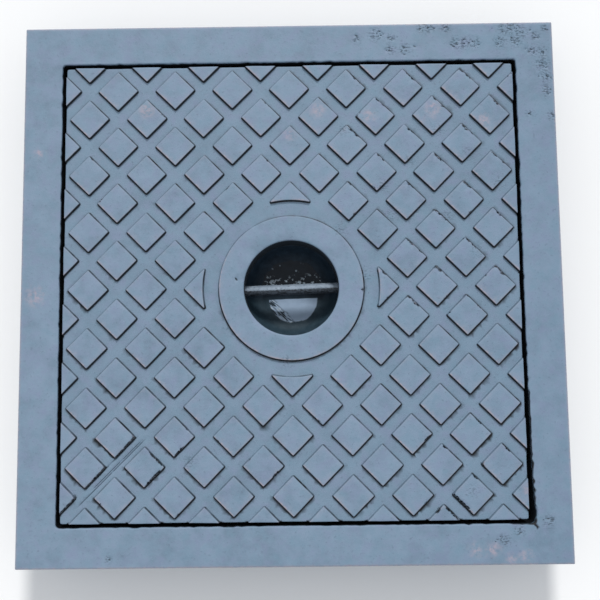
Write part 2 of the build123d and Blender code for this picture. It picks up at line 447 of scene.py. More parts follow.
# broken edges that stand out: pitches right and up of the lug, its side, place along it, size in mm
BROKEN_EDGES = (
    (3, -3.5, 2, 0.12, 2.4), (3, -3.5, 2, 0.34, 3.6), (3, -3.5, 2, 0.5, 4.2), (3, -3.5, 2, 0.66, 2.6),
    (3, -3.5, 0, 0.9, 3.0), (2.5, -4, 0, 0.75, 2.6), (2.5, -4, 1, 0.3, 2.4), (2.5, -4, 0, 0.45, 2.8),
    (3.5, -3, 2, 0.02, 2.2), (3.5, -3, 0, 0.8, 2.6), (-2.5, -3, 3, 0.75, 3.4), (-2.5, -3, 3, 0.5, 3.6),
    (-2.5, -3, 3, 0.3, 2.6), (-2.5, -3, 0, 0.6, 2.4), (-2.5, -3, 0, 0.42, 3.0), (-2.5, -3, 0, 0.25, 2.6),
    (-2, -2.5, 3, 0.3, 2.6), (-2, -2.5, 3, 0.18, 2.8), (2.5, -3, 0, 0.85, 2.4), (2, -2.5, 3, 0.75, 2.2),
    (3, -2.5, 0, 0.6, 2.0), (-0.9, -2.9, 3, 0.6, 2.4),
)


def tread_damage(lugs, rng):
    """Chips on the lugs' edges. The right half of the cover has had the most knocks."""
    dents = []
    for lug in lugs.values():
        if lug.x > 0.15 * COVER_HALF and lug.y > -0.2 * COVER_HALF and rng.random() < 0.8:
            knock(dents, lug, 0, rng.uniform(0.6, 0.95), rng.uniform(2.2, 4.2), 1.6, rng, 5)
            if rng.random() < 0.5:
                knock(dents, lug, 0, rng.uniform(0.25, 0.6), rng.uniform(1.5, 2.6), 1.2, rng, 3)
        if rng.random() < 0.25:
            knock(dents, lug, rng.randrange(4), rng.random(), rng.uniform(1.2, 2.2), 1.2, rng, 2)
    for across, up, side, share, size in BROKEN_EDGES:
        knock(dents, lug_at(lugs, across, up), side, share, size, 2.6, rng, 6)
    # two chips in the ring
    for place, angle in (((-61 * MM, 10 * MM), -55), ((79 * MM, -3 * MM), 10)):
        dents.append(Dent(place, 2.2 * MM, 1.0 * MM, math.radians(angle), 1.4 * MM))
    # lower left: a long scrape has crushed the edges beside one channel
    for across, up, crush in ((-3, -2.5, 1.7), (-3.5, -3, 1.1), (-4, -3.5, 0.9)):
        lug = lug_at(lugs, across, up)
        for number in range(9):
            middle = lug.edge_point(3, number / 8 + rng.uniform(-0.05, 0.05))
            short = (0.6 + crush * (number / 8) ** 1.5 * rng.uniform(0.6, 1.1)) * MM
            angle = lug.edge_angle(3) + rng.uniform(-0.2, 0.2)
            dents.append(Dent(middle, rng.uniform(2.4, 3.6) * MM, short, angle, rng.uniform(1.4, 2.6) * MM))
    return dents


# the scrape at the lower left: thin grooves, each with the pitches right and up of its two ends
SCRAPE = (
    ((-2.60, -2.46), (-3.56, -3.42)), ((-2.52, -2.52), (-3.42, -3.40)), ((-2.44, -2.48), (-3.70, -3.72)),
)
SCRAPE_HALF = 0.9 * MM
SCRAPE_DEPTH = 0.9 * MM


def scrape_depth(x, y):
    """Depth of the grooves, tapering at their ends."""
    depth = np.zeros(len(x))
    for start, end in SCRAPE:
        (ax, ay), (bx, by) = [(a * PITCH, b * PITCH) for a, b in (start, end)]
        length = math.hypot(bx - ax, by - ay)
        cos, sin = (bx - ax) / length, (by - ay) / length
        along = ((x - ax) * cos + (y - ay) * sin) / length
        across = np.abs((y - ay) * cos - (x - ax) * sin)
        taper = np.clip(np.minimum(along, 1 - along) * 9, 0, 1)
        depth = np.maximum(depth, SCRAPE_DEPTH * taper * np.clip(1 - across / SCRAPE_HALF, 0, 1))
    return depth


def tread_plan(lugs, dents, rng):
    plan = Plan()
    plan.loop(rounded_square(COVER_HALF - EDGE_ROUND, 2 * MM, 120, 3))
    plan.loop(rounded_square(COVER_HALF - 2.2 * MM, 2 * MM, 120, 3))
    for step in MOUTH_STEPS:
        plan.loop(circle(MOUTH_RADIUS + step, 128))
    for step in LUG_STEPS:
        plan.loop(circle(RING_FOOT - step, 160))
        for lug in lugs.values():
            plan.loop(lug.outline(step))
    dots = scatter(rng, COVER_HALF, 5.2 * MM)
    x, y = dots[:, 0], dots[:, 1]
    radius = np.hypot(x, y)
    inside = np.maximum(lug_distance(lugs, x, y), RING_RADIUS - radius)
    clear_of_steps = (inside < -2 * MM) | (inside > 3.5 * MM)
    on_cover = (square_reach(x, y) < COVER_HALF - 3 * MM) & (radius > MOUTH_RADIUS + 4 * MM)
    plan.dots(dots[clear_of_steps & on_cover])
    for dent in dents:
        plan.dots(p for p in dent.dots(rng) if square_reach(*p) < COVER_HALF - 1.5 * MM)
    for start, end in SCRAPE:
        start, end = Vector(start) * PITCH, Vector(end) * PITCH
        side = (end - start).normalized().orthogonal() * SCRAPE_HALF
        for shift in (-1.0, 0.0, 1.0):
            plan.path([start.lerp(end, k / 50) + side * shift for k in range(51)])
    return plan


def tread_height(lugs, dents, x, y):
    radius = np.hypot(x, y)
    inside = np.maximum(lug_distance(lugs, x, y), RING_FOOT - radius)
    raised = np.interp(inside, LUG_STEPS, LUG_LEVELS)
    hollow = dent_depth(dents, x, y) * (raised / LUG_HEIGHT)
    hollow = hollow * (0.75 + 0.5 * wander(x, y, 1.8 * MM, 4)) + scrape_depth(x, y)
    cast = 0.10 * MM * wander(x, y, 5 * MM, 1) + 0.18 * MM * wander(x, y, 45 * MM, 2)
    mouth = np.interp(radius - MOUTH_RADIUS, MOUTH_STEPS, MOUTH_LEVELS)
    return FLOOR + raised - np.maximum(hollow, 0) + np.minimum(cast, 0.12 * MM) + mouth


# ---- underside of the cover
# how far a wall under the plate stands out, by the distance outside its foot
WALL_STEPS = np.array([-1.0, -0.3, 0.0, 1.0, 1.6, 3.2]) * MM


def wall_level(outside, foot_z):
    """Level of a drafted wall with a rounded edge and root, between foot_z and the plate."""
    levels = [foot_z, foot_z + 0.2 * MM, foot_z + 0.9 * MM]
    levels += [PLATE_UNDERSIDE - 1.6 * MM, PLATE_UNDERSIDE - 0.5 * MM, PLATE_UNDERSIDE]
    return np.interp(outside, WALL_STEPS, levels)


def underside_level(x, y):
    radius = np.hypot(x, y)
    level = wall_level(square_distance(x, y, RIM_INNER_HALF, 8 * MM), RIM_Z)
    for along, across in ((x, y), (y, x)):
        rib = wall_level(np.abs(np.abs(along) - RIB_OFFSET) - RIB_HALF, RIB_Z)
        level = np.minimum(level, rib)
    tie = wall_level(np.maximum(np.abs(x) - RIB_HALF, np.abs(y) - RIB_OFFSET), RIB_Z)
    collar = wall_level(radius - COLLAR_RADIUS, COLLAR_Z)
    along, across = turned(x, y, -BAR_YAW)
    low = BAR_Z - np.sqrt(np.maximum(BOSS_RADIUS**2 - across**2, 0))
    end = wall_level(np.abs(along) - BOSS_FACE, COLLAR_Z)
    side = wall_level(np.abs(across) - BOSS_RADIUS, COLLAR_Z)
    boss = np.maximum(np.maximum(end, side), low)
    level = np.minimum(np.minimum(level, tie), np.minimum(collar, boss))
    return level + 0.12 * MM * wander(x, y, 7 * MM, 9) * (level > COLLAR_Z + 0.5 * MM)


def underside_plan(rim_loop, mouth_loop):
    plan = Plan()
    plan.loop(rim_loop)
    plan.loop(mouth_loop)
    for step in WALL_STEPS:
        plan.loop(rounded_square(RIM_INNER_HALF - step, 8 * MM, 40, 5))
        plan.loop(circle(COLLAR_RADIUS + step, 96))
        stretch = np.linspace(-RIM_INNER_HALF + 4 * MM, RIM_INNER_HALF - 4 * MM, 44)
        for side in (-1, 1):
            for edge in (-1, 1):
                place = side * RIB_OFFSET + edge * (RIB_HALF + step)
                plan.path([(place, s) for s in stretch])
                plan.path([(s, place) for s in stretch])
            tie = np.linspace(COLLAR_RADIUS - 1 * MM, RIB_OFFSET - RIB_HALF, 10)
            plan.path([(RIB_HALF + step, side * s) for s in tie])
            plan.path([(-RIB_HALF - step, side * s) for s in tie])
            end = side * (BOSS_FACE + step)
            across = np.linspace(-BOSS_RADIUS - 3 * MM, BOSS_RADIUS + 3 * MM, 17)
            plan.path([turned(end, a, BAR_YAW) for a in across])
            for edge in (-1, 1):
                a = edge * (BOSS_RADIUS + step)
                run = np.linspace(COLLAR_RADIUS, BOSS_FACE + 3 * MM, 4) * side
                plan.path([turned(s, a, BAR_YAW) for s in run])
    return plan


def cover_top(bm, lugs, dents, rng):
    """The tread. Returns the loops of vertices round the mouth and the rim, and where each vertex is on
    an outline without its waves."""
    points, faces, _ = tread_plan(lugs, dents, rng).triangles()
    x, y = points.T
    z = tread_height(lugs, dents, x, y)
    across, up = middles(points, faces)
    kept = square_distance(across, up, COVER_HALF - EDGE_ROUND, 2 * MM) > -0.001 * MM
    kept &= np.hypot(across, up) > MOUTH_RADIUS + 0.03 * MM
    # outlines of castings are never quite straight
    steady = np.clip((np.hypot(x, y) - MOUTH_RADIUS) / (10 * MM), 0, 1)
    wavy_x = x + 0.25 * MM * wander(x, y, 22 * MM, 5) * steady
    wavy_y = y + 0.25 * MM * wander(x, y, 22 * MM, 6) * steady
    used = sorted({k for face, keep in zip(faces, kept) if keep for k in face})
    verts = {k: bm.verts.new((wavy_x[k], wavy_y[k], z[k])) for k in used}
    for face, keep in zip(faces, kept):
        if keep:
            bm.faces.new([verts[k] for k in face])
    mouth, rim = sorted(boundary_loops(bm), key=len)[-2:]
    return mouth, rim, {verts[k]: (x[k], y[k]) for k in used}


def rim_wall(bm, rim, straight):
    """The cover's outer side. Returns the loop at its foot."""
    def row(half, drop=0.0, level=None):
        scale = half / (COVER_HALF - EDGE_ROUND)
        return [(v.co.x * scale, v.co.y * scale, v.co.z - drop if level is None else level) for v in rim]

    foot_scale = (RIM_HALF - 1.2 * MM) / (COVER_HALF - EDGE_ROUND)
    return add_wall(bm, rim, [
        row(COVER_HALF - 0.2 * MM, drop=0.2 * MM),
        row(COVER_HALF, drop=0.75 * MM),
        row(COVER_HALF - 0.05 * MM, level=FLOOR - 2.2 * MM),
        row(COVER_HALF - 0.45 * MM, level=(FLOOR + RIM_Z) / 2),
        row(RIM_HALF, level=RIM_Z + 1.2 * MM),
        row(RIM_HALF - 0.4 * MM, level=RIM_Z + 0.3 * MM),
        [(straight[v][0] * foot_scale, straight[v][1] * foot_scale, RIM_Z) for v in rim],
    ])


def mouth_wall(bm, mouth, foot_radius):
    """The side of the hole in the cover. Returns the loop at its foot."""
    levels = [*np.linspace(TOP - 4 * MM, COLLAR_Z + 0.8 * MM, 12), COLLAR_Z + 0.2 * MM]
    rows = [[(v.co.x, v.co.y, level) for v in mouth] for level in levels]
    rows.append([(*(v.co.xy.normalized() * foot_radius), COLLAR_Z) for v in mouth])
    return add_wall(bm, mouth, rows)


def make_cover():
    """Returns the cover, its lugs and its dents."""
    rng = random.Random(COVER_SEED)
    lugs = make_lugs(rng)
    dents = tread_damage(lugs, rng)
    bm = bmesh.new()
    mouth, rim, straight = cover_top(bm, lugs, dents, rng)
    rim_foot = rim_wall(bm, rim, straight)
    foot_radius = MOUTH_RADIUS + 0.4 * MM
    mouth_foot = mouth_wall(bm, mouth, foot_radius)
    plan = underside_plan([v.co.xy for v in rim_foot], [v.co.xy for v in mouth_foot])

    def outside_mouth(x, y):
        return np.hypot(x, y) > foot_radius

    add_surface(bm, plan, underside_level, rim_foot + mouth_foot, outside_mouth)
    bmesh.ops.remove_doubles(bm, verts=bm.verts, dist=0.002 * MM)
    return smooth_object("cover_casting", bm), lugs, dents


def tint(points, patches):
    """Soft round patches, 1 in the middle of each, given as pitches right, pitches up and size in mm."""
    strength = np.zeros(len(points))
    for across, up, size in patches:
        far = np.hypot(points[:, 0] - across * PITCH, points[:, 1] - up * PITCH)
        strength = np.maximum(strength, np.clip(1.3 - far / (size * MM), 0, 1))
    return strength


def flank_directions(piece):
    """Which way each vertex's flank faces, seen from above: its X and Y."""
    normals = vertex_vectors(piece, "normal")
    level = np.maximum(np.hypot(normals[:, 0], normals[:, 1]), 0.08)
    return normals[:, 0] / level, normals[:, 1] / level


def finish_cover(piece, lugs, dents):
    """Bores the cover for the bar and the bowl's screws, and marks it."""
    reach = BAR_DIRECTION * (BOSS_FACE + 2 * MM)
    rods = [rod(BAR_SPOT - reach, BAR_SPOT + reach, BORE_RADIUS, 48)]
    for spot in screw_spots():
        rods.append(rod((*spot, COLLAR_Z - MM), (*spot, COLLAR_Z + 13 * MM), SCREW_HOLE_RADIUS, 24))
    drill(piece, rods)
    mark_cover(piece, lugs, dents)


# how dark the line at a flank's foot is, by how far the flank faces +X
FAINT_LINE = ((-0.8, -0.4, 0.4, 0.8), (0.31, 0.33, 0.52, 0.56))
# how dark chips are from a depth on, and the scrape; and how dark the painted shade is in the gap and down
# the mouth
KNOCK_DEPTH, KNOCK_DARKEST = 1.3 * MM, 0.64
SCRAPE_SHADE, GAP_SHADE, MOUTH_SHADE = 0.56, 0.45, 0.67


def mark_cover(piece, lugs, dents):
    """Marks where grime, painted shade, wear, rust and rough patches are, for the paint."""
    points = places(piece)
    x, y, z = points.T
    radius = np.hypot(x, y)
    inside = np.maximum(lug_distance(lugs, x, y), RING_FOOT - radius)
    on_top = z > FLOOR - MM
    right, up = flank_directions(piece)
    down = np.clip(0.5 - 0.9 * up, 0, 1)
    ragged = wander(x, y, 3 * MM, 21)
    # a thin line of grime lies at the foot of every flank, and a thick line of painted shadow lies over it
    # against the flanks that face -Y, away from the light. Both spread further into the channel below
    # flanks that face away from the cover's middle
    outward = np.clip((x * right + y * up) / COVER_HALF, -1, 1)
    foot = (-0.5 - 0.45 * outward) * MM
    spread = np.clip((inside - foot) / (0.8 * MM) + 1, 0, 1)
    thick = spread * np.interp(inside, [0.45 * MM, 0.9 * MM], [1, 0])
    thin = spread * np.interp(inside, [0.8 * MM, 1.3 * MM], [1, 0])
    patchy = np.clip(1 + 0.4 * wander(x, y, 20 * MM, 22), 0.5, 1.5)
    faint = thin * np.interp(right, *FAINT_LINE) * patchy
    # painted shadow: the thick dark line at the foot of the flanks that face -Y
    painted_shadow_line = thick * np.clip(1.3 * down - 0.15, 0, 1)
    dirt_and_painted_shade = np.maximum(painted_shadow_line, faint) * (1 + 0.25 * ragged) * on_top
    knocks = np.clip(dent_depth(dents, x, y) / KNOCK_DEPTH * (1 + 0.5 * ragged), 0, KNOCK_DARKEST)
    knocks = knocks * np.interp(inside, [-1.5 * MM, -0.2 * MM], [0.2, 1])
    damage = np.maximum(knocks, SCRAPE_SHADE * scrape_depth(x, y) / SCRAPE_DEPTH) * on_top
    # painted shade: the cover's side and underside below the channel floor, and the mouth's wall, are
    # darkened
    below = np.clip((FLOOR - 1.5 * MM - z) / MM, 0, 1)
    mouth = (radius < MOUTH_RADIUS + 1.2 * MM) * np.clip((TOP - 0.7 * MM - z) / MM, 0, 1)
    shade = np.maximum(GAP_SHADE * below, MOUTH_SHADE * mouth)
    store(piece, "dirt_and_painted_shade", np.maximum(np.maximum(dirt_and_painted_shade, damage), shade))
    wear = np.interp(inside, [0.5 * MM, 1.0 * MM, 1.6 * MM, 2.6 * MM], [0, 1, 1, 0]) * on_top
    lower_left = np.clip(-0.7 * up - 0.7 * right, 0, 1)
    patchy = np.clip(0.7 + 1.2 * wander(x, y, 14 * MM, 23), 0, 1)
    store(piece, "wear", wear * (0.15 + 0.3 * down + 0.8 * lower_left) * patchy)
    store(piece, "rust", tint(points, RUSTY_LUGS) * (inside > 0) * on_top)
    store(piece, "raised", np.interp(inside, [0, 2 * MM], [0, 1]) * on_top)
    store(piece, "rough", 0.5 * tint(points, ROUGH_LUGS) * on_top)


# patches of the cover, as pitches right of the middle, pitches up and size in mm
RUSTY_LUGS = (
    (-2.5, 3.15, 9), (0.5, 3.1, 8), (1.4, 3.0, 8), (2.5, 3.1, 9), (3.4, 2.9, 8), (0.0, 2.7, 6),
    (4.0, -3.45, 11),
)
ROUGH_LUGS = tuple((across, up, 8) for across, up in (
    (2.6, 2.75), (3.1, 2.3), (3.6, 1.8), (2.1, 2.2), (1.6, 1.75), (2.7, 1.2), (3.2, 0.6), (0.85, 1.0),
    (1.75, 1.25), (1.3, 0.2), (-0.1, -1.25), (0.95, 2.75), (3.0, -3.45), (-1.75, -2.9),
))


def screw_spots():
    return [tuple(p) for p in circle(SCREW_CIRCLE, 4, start=math.pi / 4)]


# ---- frame
# half size and level in mm of each line round the frame, from the outer top edge to the inner one
FRAME_ROWS = (
    (299.0, 74.73), (299.73, 74.0), (300.0, 73.0), (300.0, 66.2), (299.7, 65.3), (299.0, 65.0),
    (297.5, 65.0), (270.0, 65.0), (268.0, 64.8), (266.5, 64.0), (266.0, 62.0), (266.0, 60.0),
    (266.0, 14.0), (266.0, 12.0), (266.5, 10.0), (268.0, 9.2), (270.0, 9.0), (297.5, 9.0),
    (299.0, 9.0), (299.7, 8.7), (300.0, 8.0), (300.0, 1.0), (299.7, 0.3), (299.0, 0.0),
    (297.5, 0.0), (259.5, 0.0), (258.0, 0.0), (257.2, 0.3), (257.0, 1.2), (257.0, 11.0),
    (256.2, 12.4), (226.0, 25.6), (225.1, 26.2), (225.0, 27.2), (225.0, 34.2), (225.4, 34.8),
    (226.2, 35.0), (227.7, 35.0), (254.0, 35.0), (255.8, 35.1), (256.8, 35.8), (257.0, 37.5),
    (257.0, 60.0), (257.0, 66.0), (257.0, 70.0), (257.0, 72.5), (257.0, 73.8), (257.2, 74.6),
)
FRAME_TOP_OUTER = 298 * MM
FRAME_TOP_INNER = 257.8 * MM
BROKEN_BELOW = -115 * MM  # where the right edge of the opening is badly broken


def frame_corner(half):
    """Corner radius of the frame's outline at each size."""
    half_mm = half / MM
    return np.interp(half_mm, [225, 226, 256, 257.8, 265, 298, 300], [12, 12, 4, 3, 3, 0.8, 1.2]) * MM


def frame_loop(half):
    return rounded_square(half, frame_corner(half), 108, 4)


# patches of the frame, as pitches right of the middle, pitches up and size in mm
RUSTY_PATCHES = (
    (-4.4, -0.1, 11), (-4.38, 2.4, 6), (3.0, -4.4, 7), (3.3, -4.4, 8), (3.6, -4.55, 6), (3.85, -4.5, 7),
)
ROUGH_PATCHES = (
    (1.21, 4.38, 5), (1.54, 4.46, 9), (1.81, 4.38, 5), (1.81, 4.18, 6), (2.05, 4.2, 7), (2.35, 4.57, 6),
    (2.48, 4.57, 7), (2.78, 4.57, 6), (2.94, 4.29, 7), (3.11, 4.29, 8), (3.29, 4.28, 7), (3.83, 4.53, 9),
    (4.02, 4.57, 8), (4.11, 4.46, 8), (3.73, 4.29, 8), (4.0, 4.33, 9), (4.35, 4.4, 6), (4.51, 4.53, 5),
    (4.31, 4.14, 7), (4.47, 4.12, 6), (4.46, 3.88, 9), (4.5, 3.65, 8), (4.5, 3.4, 7), (4.57, 2.95, 6),
    (4.2, 3.0, 4), (3.5, -4.25, 7), (3.75, -4.1, 6), (4.25, -3.95, 7), (-3.1, -4.5, 4),
)


def frame_dents(rng):
    """Pits in the frame's top face, crowded into its rough patches."""
    dents = []
    for across, up, reach in ROUGH_PATCHES:
        for _ in range(int(reach * 0.8)):
            place = (across * PITCH + rng.gauss(0, 0.55) * reach * MM,
                     up * PITCH + rng.gauss(0, 0.4) * reach * MM)
            size = rng.choice((0.7, 0.9, 1.2, 1.7)) * MM
            angle = rng.uniform(-0.5, 0.5)
            dents.append(Dent(place, size * 1.3, size * 0.6, angle, rng.uniform(0.3, 0.8) * MM))
    return dents


def broken_edge(x, y):
    """How far the opening's upper edge is broken back, worst at the lower right."""
    along = np.where(np.abs(x) > np.abs(y), y, x)
    rough = 1.3 * MM * np.clip(wander(x, y, 4.5 * MM, 31) + 0.05, 0, 1)
    lower_right = (x > 0.9 * OPENING_HALF) & (along < BROKEN_BELOW)
    share = np.clip((BROKEN_BELOW - along) / (140 * MM), 0, 1)
    deep = (1.0 + 3.4 * share**2) * MM * np.clip(0.75 + 0.8 * wander(x, y, 5 * MM, 32), 0, 1.4)
    return np.where(lower_right, deep, rough)


def flange_plan(outer, inner, dents, rng):
    plan = Plan()
    for loop in (outer, inner):
        plan.loop([v.co.xy for v in loop])
    for half in (FRAME_TOP_OUTER - 1.5 * MM, FRAME_TOP_INNER + 1.2 * MM, FRAME_TOP_INNER + 3.5 * MM):
        plan.loop(rounded_square(half, 3 * MM, 150, 4))
    dots = scatter(rng, FRAME_HALF, 4.5 * MM)
    reach = square_reach(*dots.T)
    plan.dots(dots[(reach > FRAME_TOP_INNER + 5 * MM) & (reach < FRAME_TOP_OUTER - 3 * MM)])
    low, high = FRAME_TOP_INNER + 4 * MM, FRAME_TOP_OUTER - 2 * MM
    for dent in dents:
        plan.dots(p for p in dent.dots(rng) if low < square_reach(*p) < high)
    return plan


def break_edge(bm):
    """Breaks the edge of the opening back, more at the top than further down."""
    edge = [v for v in bm.verts if v.co.z > 58 * MM and square_reach(*v.co.xy) < 272 * MM]
    x, y, z = np.array([tuple(v.co) for v in edge]).T
    back = broken_edge(x, y) * np.clip((z - 60 * MM) / (12 * MM), 0, 1)
    reach = square_reach(x, y)
    back *= np.clip(1 - (reach - FRAME_TOP_INNER) / (9 * MM), 0, 1)
    for vertex, amount in zip(edge, back):
        if abs(vertex.co.x) >= abs(vertex.co.y):
            vertex.co.x += math.copysign(amount, vertex.co.x)
        if abs(vertex.co.y) >= abs(vertex.co.x) - amount:
            vertex.co.y += math.copysign(amount, vertex.co.y)


def make_frame():
    rng = random.Random(FRAME_SEED)
    bm = bmesh.new()
    dents = frame_dents(rng)
    outer = [bm.verts.new((*p, TOP)) for p in frame_loop(FRAME_TOP_OUTER)]
    rows = [[(*p, level * MM) for p in frame_loop(half * MM)] for half, level in FRAME_ROWS]
    rows.append([(*p, TOP) for p in frame_loop(FRAME_TOP_INNER)])
    inner = add_wall(bm, outer, rows)

    def level(x, y):
        cast = 0.07 * MM * wander(x, y, 6 * MM, 33) + 0.15 * MM * wander(x, y, 60 * MM, 34)
        fall = dent_depth(dents, x, y) * np.clip(1 + 0.4 * wander(x, y, 1.5 * MM, 35), 0.4, 1.4)
        return TOP + np.minimum(cast, 0.1 * MM) - fall

    def on_flange(x, y):
        return square_distance(x, y, FRAME_TOP_INNER, frame_corner(FRAME_TOP_INNER)) < 0

    add_surface(bm, flange_plan(outer, inner, dents, rng), level, outer + inner, on_flange)
    break_edge(bm)
    piece = smooth_object("frame_casting", bm)
    cut(piece, [make_web(k) for k in range(8)], "UNION")
    holes = [(a * ANCHOR_OFFSET, b * ANCHOR_OFFSET) for a in (-1, 1) for b in (-1, 1)]
    drill(piece, [rod((*p, -MM), (*p, BASE_FLANGE_Z + MM), ANCHOR_RADIUS, 40) for p in holes])
    mark_frame(piece, dents)
    return piece


def make_web(number):
    """One of the eight stiffening webs outside the wall, with its hollow outer edge."""
    foot, head = BASE_FLANGE_Z - 0.5 * MM, TOP_FLANGE_Z + 0.5 * MM
    root, edge = WALL_HALF - 0.5 * MM, FRAME_HALF - 3 * MM
    low, high = foot + 4.5 * MM, head - 4.5 * MM
    outline = [(edge, foot)]
    for k in range(13):
        share = k / 12
        outline.append((edge - 15 * MM * (1 - (2 * share - 1) ** 2), low + (high - low) * share))
    outline.append((edge, head))
    quarter, side = divmod(number, 2)
    turn = Euler((0, 0, quarter * math.pi / 2)).to_matrix()
    across = (2 * side - 1) * WEB_OFFSET
    half = 4 * MM

    def row(x, z):
        corners = ((root, -half), (x, -half), (x, half), (root, half))
        return [turn @ Vector((a, across + b, z)) for a, b in corners]

    return closed_tube("web", [row(x, z) for x, z in outline])


def mark_frame(piece, dents):
    points = places(piece)
    x, y, z = points.T
    reach = square_reach(x, y)
    on_top = z > TOP - 2.5 * MM
    damage = 0.5 * np.clip(dent_depth(dents, x, y) / (0.5 * MM), 0, 1) * on_top
    # painted shade: darker down the inside of the opening, below its top edge
    pocket_shade = np.clip((TOP - 1.2 * MM - z) / (4 * MM), 0, 1) * (reach < WALL_HALF - 2 * MM)
    lower_right = (x > 0.9 * OPENING_HALF) & (y < BROKEN_BELOW)
    broken = lower_right * np.clip((broken_edge(x, y) + FRAME_TOP_INNER - reach) / MM + 0.3, 0, 1) * on_top
    store(piece, "dirt_and_painted_shade", np.maximum(np.maximum(damage, 0.9 * pocket_shade), broken))
    store(piece, "wear", np.clip((reach - FRAME_TOP_OUTER + 0.3 * MM) / (1.2 * MM), 0, 1) * on_top * 0.6)
    store(piece, "rust", tint(points, RUSTY_PATCHES) * on_top)
    store(piece, "raised", np.where(on_top, 0.7, 0.0))
    store(piece, "rough", 0.85 * tint(points, ROUGH_PATCHES) * on_top)


# ---- bowl and bar
def bend(before, corner, after, radius, count):
    """Points round a bend that replaces the corner of a polyline, in the profile's plane."""
    corner = Vector(corner)
    a = (Vector(before) - corner).normalized()
    b = (Vector(after) - corner).normalized()
    half = a.angle(b) / 2
    middle = corner + (a + b).normalized() * (radius / math.sin(half))
    start, end = corner + a * (radius / math.tan(half)), corner + b * (radius / math.tan(half))
    first, last = (start - middle).normalized(), (end - middle).normalized()
    return [tuple(middle + radius * first.slerp(last, k / count)) for k in range(count + 1)]


def lathe(name, profile, count, wobble):
    """Turns a closed profile of (radius, height) round Z. Its first and last points are on the axis.
    wobble(place) says how far each of the other vertices moves."""
    bm = bmesh.new()
    first = bm.verts.new((0, 0, profile[0][1]))
    last = bm.verts.new((0, 0, profile[-1][1]))
    rows = []
    for radius, height in profile[1:-1]:
        rows.append([bm.verts.new((*p, height)) for p in circle(radius, count)])
    for k in range(count):
        after = (k + 1) % count
        bm.faces.new((first, rows[0][k], rows[0][after]))
        bm.faces.new((last, rows[-1][after], rows[-1][k]))
        for low, high in zip(rows, rows[1:]):
            bm.faces.new((low[k], low[after], high[after], high[k]))
    for row in rows:
        for vertex in row:
            vertex.co += wobble(vertex.co)
    return smooth_object(name, bm)


def make_bowl():
    """The pressed bowl: flange under the collar, leaning wall, round bend and flat floor."""
    floor, wall = 16 * MM, 3 * MM
    flange = BOWL_HIGH.z
    edge = BOWL_HIGH.x
    inside = bend((0, floor), (45 * MM, floor), (MOUTH_RADIUS, flange), 16 * MM, 9)
    outside = bend((0, floor - wall), (48.75 * MM, floor - wall),
                   (MOUTH_RADIUS + wall, flange - wall), 19 * MM, 9)
    profile = [(0, floor)] + [(k * 4.0 * MM, floor) for k in range(1, 9)] + inside
    lean = (MOUTH_RADIUS - inside[-1][0]) / (flange - inside[-1][1])
    for level in (27.5, 29.5, 31.2):
        profile.append((inside[-1][0] + lean * (level * MM - inside[-1][1]), level * MM))
    profile += [(MOUTH_RADIUS + 0.3 * MM, 32.2 * MM), (MOUTH_RADIUS + 1.2 * MM, flange)]
    profile += [(edge - 1.5 * MM, flange), (edge - 0.4 * MM, flange), (edge, flange - 0.4 * MM)]
    profile += [(edge, flange - wall + 0.4 * MM), (edge - 0.4 * MM, flange - wall)]
    profile += [(edge - 1.5 * MM, flange - wall), (58 * MM, flange - wall), (56 * MM, flange - 1.3 * wall)]
    profile += outside[::-1]
    profile += [(k * 8.0 * MM, floor - wall) for k in range(4, 0, -1)] + [(0, floor - wall)]

    def wobble(place):
        size = 0.25 * MM if place.xy.length < MOUTH_RADIUS - 2 * MM else 0.0
        return Vector((0, 0, size * noise.fractal(place / (14 * MM), 1.0, 2.0, 3)))

    piece = lathe("bowl_pressing", profile, 120, wobble)
    low, high = flange - wall - MM, flange + MM
    drill(piece, [rod((*p, low), (*p, high), FLANGE_HOLE_RADIUS, 28) for p in screw_spots()])
    return piece


def make_bar():
    """The lifting bar, pitted by rust all over, with its two split pin holes."""
    half = (BAR_HIGH.x - BAR_LOW.x) / 2 / math.cos(BAR_YAW)
    half -= BAR_RADIUS * math.tan(abs(BAR_YAW)) * 0.9
    profile = [(0, -half), (2.5 * MM, -half), (BAR_RADIUS - MM, -half), (BAR_RADIUS, MM - half)]
    count = int(2 * half / (1.1 * MM))
    span = half - 1.6 * MM
    profile += [(BAR_RADIUS, span * (2 * k / count - 1)) for k in range(count + 1)]
    profile += [(BAR_RADIUS, half - MM), (BAR_RADIUS - MM, half), (2.5 * MM, half), (0, half)]

    def pitting(place):
        if abs(place.z) > span or place.xy.length < BAR_RADIUS - 0.1 * MM:
            return Vector((0, 0, 0))
        rough = noise.fractal(place / (2.2 * MM), 0.8, 2.0, 3) + 0.5 * noise.noise(place / (9 * MM))
        open_part = 1 if abs(place.z) < MOUTH_RADIUS else 0.15
        depth = 0.38 * MM * open_part * max(0, rough + 0.25)
        return Vector((*(-place.xy.normalized() * min(depth, 0.5 * MM)), 0))

    piece = lathe("pitted_bar", profile, 40, pitting)
    lie_down = Euler((0, math.pi / 2, BAR_YAW)).to_matrix().to_4x4()
    piece.data.transform(lie_down)
    piece.data.transform(Matrix.Translation(BAR_SPOT))
    pins = [BAR_SPOT + side * BAR_DIRECTION * PIN_POSITION for side in (-1, 1)]
    reach = Vector((0, 0, BAR_RADIUS + MM))
    drill(piece, [rod(p - reach, p + reach, PIN_HOLE_RADIUS, 24) for p in pins])
    return piece


